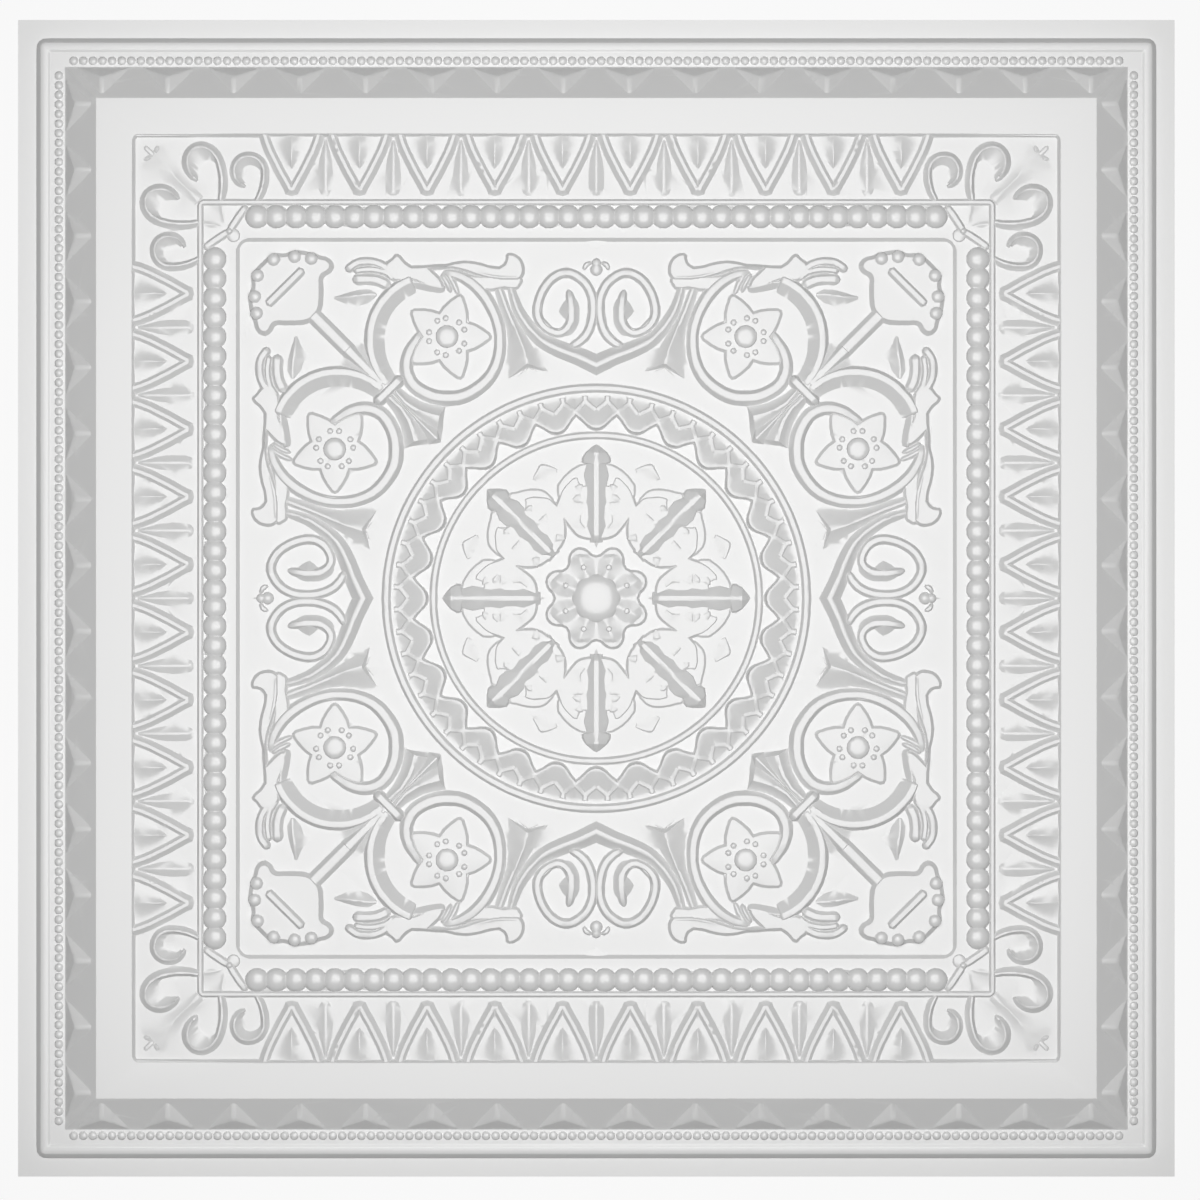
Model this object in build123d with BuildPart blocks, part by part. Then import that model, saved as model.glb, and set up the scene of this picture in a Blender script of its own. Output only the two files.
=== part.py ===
"""A square PVC ceiling tile in the pressed tin style: one thin sheet, drawn over a mould."""
import os
from math import atan2, cos, degrees, pi, sin

from build123d import *

# Sheet and outline. The tile drops into a square ceiling grid, and lies here with its face up.
TILE = 603.0
SHEET = 0.8

# Widths of the frames, from the edge of the tile inwards.
FLANGE = 9.5
WALL_RUN = 3.4
TORUS = 3.4
SHELF = 8.7
BAND_RUN = 17.1
FRAME = 18.8
STEP_RUN = 1.4
BORDER = 32.3
RIDGE = 3.2
RIDGE_SIDE = 0.8
COURSE = 16.8
FIELD_RUN = 1.7

# Rises and drops between those frames.
WALL_RISE = 5.5
SHELF_DROP = 0.9
BAND_RISE = 10.6
STEP_DROP = 2.5
RIDGE_RISE = 1.4
FIELD_DROP = 2.0

# Easing of the rim's top edge, then the corners that are clearly round in the plan.
TORUS_EASE = 1.2
WALL_CORNER = 6.0
FIELD_CORNER = 4.5

# Pyramids on the sloping band, each with its peak nearer the foot of the band.
PYRAMIDS = 16
PYRAMID_PITCH = 34.2
PYRAMID_HALF = 14.0
PYRAMID_PEAK_IN = 7.0
PYRAMID_APEX_IN = 15.4
PYRAMID_RISE = 8.8

# Tongues and darts in the border, measured down from the step at its outer edge.
TONGUES = 10
TONGUE_PITCH = 35.1
TONGUE_HALF = 14.6
TONGUE_BELLY_HALF = 8.2
TONGUE_BELLY = 19.0
TONGUE_POINT = 29.0
TONGUE_SIDE = 1.4
TONGUE_RISE = 2.2
TONGUE_RIM = 4.4
TONGUE_RECESS = 1.4
TONGUE_POINT_DRAW = 1.6
DART_HALF = 4.2
DART_TOP = 7.0
DART_BELLY = 20.0
DART_FOOT = 31.0
DART_RISE = 1.7

# Bead course along the inner edge of the border. A bead is a frustum whose sides meet its neighbours'.
BEADS = 36
BEAD_PITCH = 10.06
BEAD_RADIUS = 5.8
BEAD_TOP = 3.2
BEAD_RISE = 3.6
BEAD_SIDES = 5
BEAD_INSET = 5.9

# Medallion in the middle of the field, by radius.
OUTER_RING = 109.2
OUTER_RING_HALF = 2.1
INNER_RING = 84.5
INNER_RING_HALF = 1.6
RING_CREST_SHARE = 0.4
RING_RISE = 2.0
SCALES = 28
SCALE_FOOT = 104.8
SCALE_CUSP = 95.2
SCALE_LOW = 88.0
SCALE_LOW_SHARE = 0.2
SCALE_RISE = 3.2
SPEARS = 8
SPEAR_ROOT = 30.0
SPEAR_SHOULDER = 71.0
SPEAR_TIP = 79.5
SPEAR_HALF = 7.2
SPEAR_ROOT_HALF = 4.4
SPEAR_RISE = 3.0
PETALS = 8
PETAL_TIP = 27.4
PETAL_VALLEY = 22.0
PETAL_TIP_SHARES = (0.32, 0.68)
PETAL_SIDE = 0.8
PETAL_RISE = 2.4
DOME_RADIUS = 12.7
DOME_SHOULDER = 9.6
DOME_SHOULDER_RISE = 3.4
DOME_RISE = 5.0
DOME_SIDES = 12
LEAF_RISE = 1.8
LEAF = [(3, 59.5), (11, 63.4), (20.5, 50.2), (35, 54), (24, 27), (15.5, 37.8), (3, 30.5)]

# Star flower in each eighth of the field, by its centre.
STAR_X = 77.4
STAR_Y = 135.7
STAR_POINTS = 5
STAR_TIP = 23.4
STAR_VALLEY = 14.1
STAR_EDGE = 1.6
STAR_RISE = 2.6
STAR_EYE = 5.4
STAR_EYE_TOP = 3.4
STAR_EYE_RISE = 4.2

# Scrollwork in each eighth of the field: the middle lines of the ridges with their widths, then the leaves.
SCROLL_RISE = 2.7
VINE = [(97, 130), (95, 112), (77, 104.7), (61, 110.5), (51.5, 126), (51.8, 144.5), (61, 159.5), (75, 168)]
VINE_WIDTH = 6.2
VOLUTE = [
    (9, 133), (1.6, 147), (5, 162), (15, 168.9), (26.5, 162),
    (30.6, 149), (23, 138), (13.6, 144), (13.6, 159),
]
VOLUTE_WIDTH = 4.0
AXIS_STEM = [(44, 158), (30, 136.5), (-6, 118.5)]
AXIS_STEM_WIDTH = 7.0
SHEATH = [(97, 164), (112, 152.5), (115.5, 131), (109.5, 115.5)]
SHEATH_WIDTH = 6.4
DIAGONAL_STEM = [(125, 125), (149, 149)]
DIAGONAL_STEM_WIDTH = 6.0
CLASP = [(100.8, 114.4), (114.4, 100.8)]
CLASP_WIDTH = 6.0
TRUMPET = [(42.6, 160), (24.6, 117), (35.6, 121.4), (46.6, 113.4), (45.4, 132), (53.4, 160)]
TOP_LEAF = [
    (38, 160.5), (38.8, 176), (44.8, 179.4), (50.5, 172.3), (66, 175.2), (95.6, 172.6), (103.9, 178.8),
    (106, 164), (80, 160.4), (84, 169), (59.6, 159.2),
]
HAND = [(103, 178), (118.5, 176), (129, 167), (106, 159)]
RAYS = [(107, 107), (104, 112), (119.5, 131), (129, 129)]
DIAGONAL_TRUMPET = [(103.4, 110), (77.4, 100.6), (81, 81), (107, 107)]
PALMETTE = [(146, 146), (141, 166), (137, 175), (157, 180.2), (174, 174)]
LENS_FOOT = [(113.6, 157.5), (123, 160.5), (136.6, 155.8), (124, 151.3)]
LENS_CREST = [(116.5, 157), (131, 156.1)]
LENS_RISE = 1.6

# Curls in each corner of the border.
CURL_RISE = 2.4
SMALL_CURL = [(177, 206), (173.5, 221), (180.5, 229.8), (187.4, 222), (182.4, 213.4)]
LARGE_CURL = [(195, 206), (196, 226), (204.4, 234.6), (213, 227), (207, 217)]
CURL_WIDTH = 4.2

# How far an ornament is sunk below the face that carries it.
SUNK = 0.5

# Half sizes of the square frames, from the widths above.
HALF = TILE / 2
wall_foot = HALF - FLANGE
wall_top = wall_foot - WALL_RUN
shelf_edge = wall_top - TORUS
band_foot = shelf_edge - SHELF
band_top = band_foot - BAND_RUN
step_top = band_top - FRAME
border_edge = step_top - STEP_RUN
ridge_edge = border_edge - BORDER
ridge_inner = ridge_edge - RIDGE
field_top = ridge_inner - COURSE
field_edge = field_top - FIELD_RUN
bead_axis = ridge_inner - BEAD_INSET

# Heights of the mould above the floor, and of the sheet's face over it.
shelf_level = WALL_RISE - SHELF_DROP
frame_level = shelf_level + BAND_RISE
border_level = frame_level - STEP_DROP
field_level = border_level - FIELD_DROP
border_face = border_level + SHEET
field_face = field_level + SHEET

# The diagonal that each quarter is mirrored about, and the places of the star flowers in one quarter.
diagonal = Plane(origin=(0, 0, 0), z_dir=(1, -1, 0))
star_places = [
    Location((STAR_X, STAR_Y, field_face), (0, 0, 180)),
    Location((STAR_Y, STAR_X, field_face), (0, 0, 270)),
]


def lean(run, rise):
    """Angle from the vertical of a wall that leans by run over rise."""
    return degrees(atan2(run, rise))


def polar(radius, angle):
    """Point of the plan at a radius and an angle in radians."""
    return (radius * cos(angle), radius * sin(angle))


def along_sides(count, pitch, line, level, start=0.5):
    """Places along the top and right sides of one quarter, start pitches from the middle of each side."""
    steps = [(i + start) * pitch for i in range(count // 2)]
    top = [Location((x, line, level)) for x in steps]
    right = [Location((line, y, level), (0, 0, -90)) for y in steps]
    return top + right


def square_plan(half, corner):
    """Plan of a square frame, with round corners or, at zero, sharp ones."""
    if corner:
        RectangleRounded(2 * half, 2 * half, corner)
    else:
        Rectangle(2 * half, 2 * half)


def square_block(half, corner, bottom, rise, run):
    """Add a square block whose walls lean in by run over its rise."""
    with BuildSketch(Plane.XY.offset(bottom)) as foot:
        square_plan(half, corner)
    extrude(foot.sketch, amount=rise, taper=lean(run, rise))


def square_pocket(half, corner, floor, depth, run):
    """Cut a square pocket whose walls lean in by run down to its floor."""
    rim = half + run
    with BuildSketch(Plane.XY.offset(floor + depth)) as rim_plan:
        square_plan(rim, corner and corner + run)
    extrude(rim_plan.sketch, amount=-depth, taper=lean(run, depth), mode=Mode.SUBTRACT)


def keep_quarter():
    """Keep what lies over one quarter of the plan."""
    with BuildSketch() as plan:
        Rectangle(HALF, HALF, align=Align.MIN)
    extrude(plan.sketch, amount=2 * frame_level, mode=Mode.INTERSECT)


def pyramid():
    """One pyramid with its base on the foot of the band, at the height of the shelf."""
    apex_level = BAND_RISE * PYRAMID_APEX_IN / BAND_RUN
    ConvexPolyhedron(
        [
            (-PYRAMID_HALF, 0, -SUNK),
            (PYRAMID_HALF, 0, -SUNK),
            (0, -PYRAMID_APEX_IN, apex_level - SUNK),
            (0, -PYRAMID_PEAK_IN, PYRAMID_RISE),
            (0, -PYRAMID_APEX_IN, -SUNK),
        ]
    )


def level_ring(radius, level, sides):
    """Corners of a level polygon round the middle, with a side square to X."""
    return [(*polar(radius, (i + 0.5) * 2 * pi / sides), level) for i in range(sides)]


def bead(radius, top, rise):
    """One faceted bead with a flat top, round the place it is put at."""
    ConvexPolyhedron(level_ring(radius, -SUNK, BEAD_SIDES) + level_ring(top, rise, BEAD_SIDES))


def dome():
    """The middle dome, in two tiers and a point."""
    foot = level_ring(DOME_RADIUS, -SUNK, DOME_SIDES)
    shoulder = level_ring(DOME_SHOULDER, DOME_SHOULDER_RISE, DOME_SIDES)
    ConvexPolyhedron(foot + shoulder + [(0, 0, DOME_RISE)])


def scale():
    """One scale that points in along X, from nothing at its foot to a scalloped edge."""
    half_turn = pi / SCALES
    corners = [(SCALE_FOOT, 1), (SCALE_CUSP, 1), (SCALE_LOW, 2 * SCALE_LOW_SHARE)]
    side = [polar(radius, share * half_turn) for radius, share in corners]
    plan = side + [(x, -y) for x, y in side]
    start = side[0][0]
    slope = SCALE_RISE / (start - side[-1][0])
    foot = [(x, y, -SUNK) for x, y in plan]
    ConvexPolyhedron(foot + [(x, y, slope * (start - x)) for x, y in plan])


def petal_plan():
    """Outline of the rosette, with a blunt tip to each petal."""
    pitch = 2 * pi / PETALS
    shape = [(0, PETAL_VALLEY)] + [(share, PETAL_TIP) for share in PETAL_TIP_SHARES]
    return [polar(radius, (i + share) * pitch) for i in range(PETALS) for share, radius in shape]


def tongue_plan(inset, root, level):
    """Corners of a tongue that hangs down from its root, drawn in by inset along its sides."""
    half = TONGUE_HALF - inset
    belly = TONGUE_BELLY_HALF - inset
    point = TONGUE_POINT - TONGUE_POINT_DRAW * inset
    side = [(half, root), (belly, -TONGUE_BELLY)]
    plan = side + [(0, -point)] + [(-x, y) for x, y in side]
    return [(x, y, level) for x, y in plan]


def tongue():
    """One tongue with sloping sides and a flat face, its root inside the step."""
    foot = tongue_plan(0, STEP_RUN, -SUNK)
    ConvexPolyhedron(foot + tongue_plan(TONGUE_SIDE, STEP_RUN, TONGUE_RISE))


def tongue_recess():
    """The hollow in the face of one tongue, which leaves a rim round it and stops short of the step."""
    floor = tongue_plan(TONGUE_RIM, -TONGUE_SIDE, TONGUE_RISE - TONGUE_RECESS)
    rim = tongue_plan(TONGUE_RIM - TONGUE_SIDE, -TONGUE_SIDE, TONGUE_RISE)
    ConvexPolyhedron(floor + rim, mode=Mode.SUBTRACT)


def dart():
    """One dart with a ridge down its middle, standing on the border between two tongues."""
    plan = [(0, DART_TOP), (DART_HALF, DART_BELLY), (0, DART_FOOT), (-DART_HALF, DART_BELLY)]
    foot = [(x, -down, -SUNK) for x, down in plan]
    crest = [(0, -DART_TOP - DART_RISE, DART_RISE), (0, -DART_FOOT + DART_RISE, DART_RISE)]
    ConvexPolyhedron(foot + crest)


def spear():
    """One spear that points out along X, with a ridge down its middle."""
    right = [(SPEAR_ROOT, -SPEAR_ROOT_HALF), (SPEAR_SHOULDER, -SPEAR_HALF)]
    left = [(x, -y) for x, y in right]
    foot = [(x, y, -SUNK) for x, y in right + left + [(SPEAR_TIP, 0)]]
    crest = [(SPEAR_ROOT, 0, SPEAR_RISE), (SPEAR_TIP - SPEAR_RISE, 0, SPEAR_RISE)]
    ConvexPolyhedron(foot + crest)


def star_point():
    """One point of a star flower along X, with a bevelled edge and a ridge down its middle."""
    valleys = [polar(STAR_VALLEY, side * pi / STAR_POINTS) for side in (-1, 1)]
    plan = [(0, 0), (STAR_TIP, 0)] + valleys
    shrink = 1 - STAR_EDGE / STAR_VALLEY
    foot = [(x, y, -SUNK) for x, y in plan]
    edge = [(shrink * x, shrink * y, STAR_EDGE) for x, y in plan[1:]]
    ConvexPolyhedron(foot + edge + [(0, 0, STAR_RISE), (STAR_VALLEY, 0, STAR_RISE)])


def lens_leaves():
    """The two loose leaves of the field, one on each side of the diagonal, ridged down the middle."""
    foot = [(x, y, -SUNK) for x, y in LENS_FOOT]
    crest = [(x, y, LENS_RISE) for x, y in LENS_CREST]
    ConvexPolyhedron(foot + crest)
    ConvexPolyhedron([(y, x, z) for x, y, z in foot + crest])


def ridge(path, width):
    """Plan of a ridge along a path."""
    with BuildLine() as middle:
        Polyline(*path)
    trace(middle.line, line_width=width)


def ring(radius, half):
    """Add a raised ring to the field, with sloping sides and a narrow flat top."""
    crest = half * RING_CREST_SHARE
    with BuildSketch(Plane.XZ) as section:
        Polygon(
            (radius - half, field_face - SUNK),
            (radius + half, field_face - SUNK),
            (radius + half, field_face),
            (radius + crest, field_face + RING_RISE),
            (radius - crest, field_face + RING_RISE),
            (radius - half, field_face),
            align=None,
        )
    revolve(section.sketch, Axis.Z)


with BuildPart() as mould:
    outside = HALF + FLANGE
    with BuildSketch(Plane.XY.offset(-WALL_RISE)):
        Rectangle(2 * outside, 2 * outside)
    extrude(amount=WALL_RISE)
    square_block(wall_foot, WALL_CORNER, 0, WALL_RISE, WALL_RUN)
    chamfer(edges().group_by(Axis.Z)[-1], TORUS_EASE)
    square_pocket(shelf_edge - SHELF_DROP, 0, shelf_level, SHELF_DROP, SHELF_DROP)
    with BuildSketch(Plane.XY.offset(shelf_level)):
        Rectangle(2 * band_foot, 2 * band_foot)
    extrude(amount=BAND_RISE, taper=lean(BAND_RUN, BAND_RISE))
    square_pocket(border_edge, 0, border_level, STEP_DROP, STEP_RUN)
    square_block(ridge_edge, 0, border_level, RIDGE_RISE, RIDGE_SIDE)
    square_pocket(ridge_inner, 0, border_level, RIDGE_RISE, RIDGE_SIDE)
    square_pocket(field_edge, FIELD_CORNER, field_level, FIELD_DROP, FIELD_RUN)
    with Locations(along_sides(PYRAMIDS, PYRAMID_PITCH, band_foot, shelf_level)):
        pyramid()
    with Locations((0, 0, field_level)):
        dome()

with BuildPart() as quarter:
    with Locations((0, 0, SHEET)):
        add(mould.part)
    keep_quarter()
    with Locations(along_sides(BEADS, BEAD_PITCH, bead_axis, border_face)):
        bead(BEAD_RADIUS, BEAD_TOP, BEAD_RISE)
    with Locations(along_sides(TONGUES, TONGUE_PITCH, border_edge, border_face)):
        tongue()
    with Locations(along_sides(TONGUES, TONGUE_PITCH, border_edge, border_face)):
        tongue_recess()
    with Locations(along_sides(TONGUES, TONGUE_PITCH, border_edge, border_face, 0)):
        dart()
    with BuildSketch(Plane.XY.offset(border_face - SUNK)):
        ridge(SMALL_CURL, CURL_WIDTH)
        ridge(LARGE_CURL, CURL_WIDTH)
        mirror(about=diagonal)
    extrude(amount=CURL_RISE + SUNK)
    ring(OUTER_RING, OUTER_RING_HALF)
    ring(INNER_RING, INNER_RING_HALF)
    with Locations((0, 0, field_face)):
        with PolarLocations(0, SCALES):
            scale()
    with BuildSketch(Plane.XY.offset(field_face - SUNK)):
        Polygon(LEAF, align=None)
        mirror(about=diagonal)
    extrude(amount=LEAF_RISE + SUNK)
    with BuildSketch(Plane.XY.offset(field_face - SUNK)):
        Polygon(petal_plan(), align=None)
    extrude(amount=PETAL_RISE + SUNK, taper=lean(PETAL_SIDE, PETAL_RISE))
    with Locations((0, 0, field_face)):
        with PolarLocations(0, SPEARS):
            spear()
        lens_leaves()
    with BuildSketch(Plane.XY.offset(field_face - SUNK)):
        ridge(VINE, VINE_WIDTH)
        ridge(VOLUTE, VOLUTE_WIDTH)
        ridge(AXIS_STEM, AXIS_STEM_WIDTH)
        ridge(SHEATH, SHEATH_WIDTH)
        ridge(DIAGONAL_STEM, DIAGONAL_STEM_WIDTH)
        ridge(CLASP, CLASP_WIDTH)
        for outline in (TRUMPET, TOP_LEAF, HAND, RAYS, DIAGONAL_TRUMPET, PALMETTE):
            Polygon(outline, align=None)
        mirror(about=diagonal)
    extrude(amount=SCROLL_RISE + SUNK)
    with Locations(star_places):
        with PolarLocations(0, STAR_POINTS):
            star_point()
        bead(STAR_EYE, STAR_EYE_TOP, STAR_EYE_RISE)
    keep_quarter()
    add(mould.part, mode=Mode.SUBTRACT)

with BuildPart() as ceiling_tile:
    add(quarter.part)
    mirror(about=Plane.YZ)
    mirror(about=Plane.XZ)

os.makedirs("parts", exist_ok=True)
ceiling_tile.part.label = "ceiling_tile"
export_step(ceiling_tile.part, "parts/ceiling_tile.step")
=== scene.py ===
"""A white PVC ceiling tile in the pressed tin style: one sheet drawn over the dies of its ornament.

Every die is modelled in millimetres in one quarter of the tile, face up, with the middle of the tile
at the origin. The sheet is a fine grid that is drawn down onto the dies, thinned, given its outer
wall, flange and back, mirrored to the whole tile, and only then brought to metres.
"""

import logging
import math
from dataclasses import dataclass, field
from enum import Enum

import bpy
from mathutils import Matrix, Vector


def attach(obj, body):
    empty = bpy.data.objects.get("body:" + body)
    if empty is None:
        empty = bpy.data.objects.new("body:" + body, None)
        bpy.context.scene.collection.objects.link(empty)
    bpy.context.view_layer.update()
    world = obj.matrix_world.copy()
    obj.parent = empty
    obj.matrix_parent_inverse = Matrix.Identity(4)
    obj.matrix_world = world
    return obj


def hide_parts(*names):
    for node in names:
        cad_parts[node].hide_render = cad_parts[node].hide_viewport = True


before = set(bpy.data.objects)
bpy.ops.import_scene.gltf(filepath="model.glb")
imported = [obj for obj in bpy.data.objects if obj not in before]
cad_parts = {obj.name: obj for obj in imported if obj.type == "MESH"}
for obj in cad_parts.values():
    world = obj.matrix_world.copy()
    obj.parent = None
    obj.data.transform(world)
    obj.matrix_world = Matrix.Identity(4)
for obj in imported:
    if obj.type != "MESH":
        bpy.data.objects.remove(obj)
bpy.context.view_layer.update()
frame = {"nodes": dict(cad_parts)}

Point = tuple[float, float]
Place = tuple[float, float, float]
LOG = logging.getLogger("ceiling_tile")
METRES_PER_MM = 0.001


class Symmetry(Enum):
    """How a die is repeated in its quarter of the tile."""

    ONCE = "stands on an axis or on the diagonal, or is already whole"
    DIAGONAL = "is mirrored about the diagonal"


class Section(Enum):
    """Sections of a ridge across its path: place across and height, both as shares of the full ones."""

    FLAT = ((-1, -0.1), (-0.5, 0.92), (-0.38, 1), (0.38, 1), (0.5, 0.92), (1, -0.1))
    GABLE = ((-1, -0.1), (-0.24, 0.95), (-0.12, 1), (0.12, 1), (0.24, 0.95), (1, -0.1))
    SLOPE = ((-1, -0.1), (-0.52, 0.94), (-0.42, 1), (0.12, 1), (0.2, 0.96), (1, -0.1))


@dataclass(frozen=True)
class Levels:
    """Heights of the face of the sheet above the floor, in millimetres."""

    flange: float = 0.8
    shelf: float = 5.4
    frame: float = 16.0
    border: float = 13.5
    field: float = 11.5


@dataclass(frozen=True)
class Lines:
    """Half sizes of the square lines of the frame, from the edge of the tile inwards, in millimetres."""

    edge: float = 301.5
    wall_foot: float = 292.0
    band_foot: float = 276.5
    band_top: float = 259.4
    step_top: float = 240.6
    border: float = 239.2
    ridge_outer: float = 206.9
    ridge_inner: float = 203.7
    field_top: float = 186.9
    field_foot: float = 185.2


LEVEL = Levels()
LINE = Lines()


def start_clean() -> None:
    """Leaves edit mode and deselects everything."""
    if bpy.context.object and bpy.context.object.mode != "OBJECT":
        bpy.ops.object.mode_set(mode="OBJECT")
    bpy.ops.object.select_all(action="DESELECT")


def use_only(piece: bpy.types.Object) -> None:
    """Makes one object the selected and active one."""
    start_clean()
    piece.select_set(True)
    bpy.context.view_layer.objects.active = piece


def around(centre: Point, radius: float, degrees: float) -> Point:
    """Gives the point at a radius and an angle round a centre.

    Args:
        centre: The centre in the plan.
        radius: The distance from it.
        degrees: The angle from the X axis.

    Returns:
        The point in the plan.
    """
    turn = math.radians(degrees)
    return (centre[0] + radius * math.cos(turn), centre[1] + radius * math.sin(turn))


def smooth_path(points: list[Point], steps: int = 7) -> list[tuple[float, Point]]:
    """Runs a smooth curve through points.

    Args:
        points: The points in order.
        steps: How many steps lie between two points.

    Returns:
        For each step, how far along the points it is, counted in points, and its place.
    """
    ends = [points[0], *points, points[-1]]
    curve = []
    for i in range(len(points) - 1):
        a, b, c, d = (Vector(point) for point in ends[i:i + 4])
        for k in range(steps + (i == len(points) - 2)):
            t = k / steps
            place = 0.5 * (2 * b + (c - a) * t + (2 * a - 5 * b + 4 * c - d) * t ** 2
                           + (3 * b - a - 3 * c + d) * t ** 3)
            curve.append((i + t, (place.x, place.y)))
    return curve


def swapped(points: list[Point]) -> list[Point]:
    """Mirrors points about the diagonal of the quarter."""
    return [(y, x) for x, y in points]


@dataclass
class DieSet:
    """The dies of the quarter, kept in two groups by how they repeat."""

    groups: dict[Symmetry, list[bpy.types.Object]] = field(
        default_factory=lambda: {kind: [] for kind in Symmetry}
    )

    def keep(self, symmetry: Symmetry) -> None:
        """Files the active object as a finished die."""
        die = bpy.context.object
        if die.mode != "OBJECT":
            bpy.ops.object.mode_set(mode="OBJECT")
        bpy.ops.object.transform_apply(location=True, rotation=True, scale=True)
        self.groups[symmetry].append(die)

    def bead(self, place: Point, radius: float, rise: float, level: float,
             symmetry: Symmetry = Symmetry.DIAGONAL, sides: int = 20, fullness: float = 2.5) -> None:
        """Adds a round bead that stands up out of the ground.

        Args:
            place: Its centre in the plan.
            radius: Its radius in the plan.
            rise: Its height over the ground.
            level: The height of that ground.
            symmetry: How it repeats.
            sides: How many sides its round has.
            fullness: How square its section is; two is a plain round one.
        """
        start_clean()
        bpy.ops.mesh.primitive_uv_sphere_add(
            segments=sides, ring_count=sides // 2, radius=1, location=(0, 0, 0)
        )
        for vertex in bpy.context.object.data.vertices:
            out = min(1.0, math.hypot(vertex.co.x, vertex.co.y))
            height = (1 - out ** fullness) ** (1 / fullness)
            vertex.co.z = math.copysign(height, vertex.co.z) * rise / radius
        bpy.context.object.scale = (radius,) * 3
        bpy.context.object.location = (*place, level)
        self.keep(symmetry)

    def rope(self, path: list[Point], half: float | Point, rise: float, level: float,
             thick: list[float] | None = None, symmetry: Symmetry = Symmetry.DIAGONAL,
             section: Section = Section.FLAT, ends: float | None = None, climb: float = 0.0) -> None:
        """Adds a ridge along a smooth path.

        Args:
            path: The points that its crest goes through.
            half: Half its width, or its widths to the left and to the right of the crest.
            rise: Its height over the ground at full thickness.
            level: The height of the ground.
            thick: Its thickness at each point as a share of the full one, or None for full thickness.
            symmetry: How it repeats.
            section: Its shape across the path.
            ends: How long the rounds are that its ends are drawn in to, or None for its greater half width.
            climb: How much the ground rises from its start to its end.
        """
        wide = half if isinstance(half, tuple) else (half, half)
        shares = thick or [1.0] * len(path)
        drawn = max(wide) if ends is None else ends
        curve = smooth_path(path)
        places = [Vector(place) for _, place in curve]
        length = [0.0]
        for here, there in zip(places, places[1:]):
            length.append(length[-1] + (there - here).length)
        rows = [[] for _ in section.value]
        for i, (along, _) in enumerate(curve):
            ahead = places[min(i + 1, len(places) - 1)] - places[max(i - 1, 0)]
            left = Vector((-ahead.y, ahead.x)).normalized()
            k = min(int(along), len(path) - 2)
            size = shares[k] + (shares[k + 1] - shares[k]) * (along - k)
            reach = min(length[i], length[-1] - length[i])
            if reach < drawn:
                share = reach / drawn
                size *= max(0.12, math.sqrt(share * (2 - share)))
            for row, (across, height) in zip(rows, section.value):
                place = places[i] - left * across * size * wide[0 if across < 0 else 1]
                ground = level + climb * length[i] / length[-1]
                row.append((place.x, place.y, ground + height * rise * size))
        self.fold(rows, symmetry)

    def plate(self, outline: list[Point], rise: float, level: float, edge: float,
              corners: tuple[int, ...] = (), symmetry: Symmetry = Symmetry.DIAGONAL) -> None:
        """Adds a flat raised plate with a sloping edge.

        Args:
            outline: The points that its foot goes through, in order.
            rise: Its height over the ground.
            level: The height of the ground.
            edge: The width of its sloping edge.
            corners: Which points are sharp corners; the rest are smooth.
            symmetry: How it repeats.
        """
        start_clean()
        bpy.ops.curve.primitive_bezier_circle_add(location=(0, 0, 0))
        curve = bpy.context.object.data
        knots = curve.splines[0].bezier_points
        if len(outline) > len(knots):
            knots.add(len(outline) - len(knots))
        for i, (knot, (x, y)) in enumerate(zip(knots, outline)):
            kind = "VECTOR" if i in corners else "AUTO"
            knot.handle_left_type = knot.handle_right_type = kind
            knot.co = (x, y, 0)
        curve.dimensions = "2D"
        curve.fill_mode = "BOTH"
        curve.resolution_u = 6
        curve.bevel_depth = edge
        curve.bevel_resolution = 0
        curve.offset = -edge
        bpy.ops.object.convert(target="MESH")
        bpy.context.object.scale = (1, 1, rise / edge)
        bpy.context.object.location = (0, 0, level)
        self.keep(symmetry)

    def hull(self, points: list[Place], symmetry: Symmetry = Symmetry.DIAGONAL) -> None:
        """Adds the faceted block that just holds a few points.

        Args:
            points: The corners of the block.
            symmetry: How it repeats.
        """
        start_clean()
        bpy.ops.mesh.primitive_circle_add(vertices=len(points), fill_type="NOTHING", location=(0, 0, 0))
        for vertex, point in zip(bpy.context.object.data.vertices, points):
            vertex.co = point
        bpy.ops.object.mode_set(mode="EDIT")
        bpy.ops.mesh.select_all(action="SELECT")
        bpy.ops.mesh.convex_hull()
        self.keep(symmetry)

    def fold(self, rows: list[list[Place]], symmetry: Symmetry = Symmetry.DIAGONAL) -> None:
        """Adds a folded strip whose creases run along the rows.

        Args:
            rows: The creases in order across the strip, all with as many points.
            symmetry: How it repeats.
        """
        start_clean()
        bpy.ops.mesh.primitive_grid_add(
            x_subdivisions=len(rows[0]) - 1, y_subdivisions=len(rows) - 1, size=2, location=(0, 0, 0)
        )
        corners = [point for row in rows for point in row]
        for vertex, point in zip(bpy.context.object.data.vertices, corners):
            vertex.co = point
        self.keep(symmetry)

    def turned(self, centre: Point, section: list[Point], start: float, sweep: float,
               symmetry: Symmetry = Symmetry.DIAGONAL) -> None:
        """Adds a section that is turned about an upright axis.

        Args:
            centre: The axis in the plan.
            section: The outline of the section as radius and height, in order.
            start: The angle it starts from, in degrees.
            sweep: The angle it turns through, in degrees.
            symmetry: How it repeats.
        """
        start_clean()
        bpy.ops.mesh.primitive_circle_add(vertices=len(section), fill_type="NOTHING", location=(0, 0, 0))
        for vertex, (radius, height) in zip(bpy.context.object.data.vertices, section):
            vertex.co = (*around(centre, radius, start), height)
        bpy.ops.object.mode_set(mode="EDIT")
        bpy.ops.mesh.select_all(action="SELECT")
        bpy.ops.mesh.spin(steps=max(4, round(abs(sweep) / 2.5)), angle=math.radians(sweep),
                          center=(*centre, 0), axis=(0, 0, -1))
        self.keep(symmetry)

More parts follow.
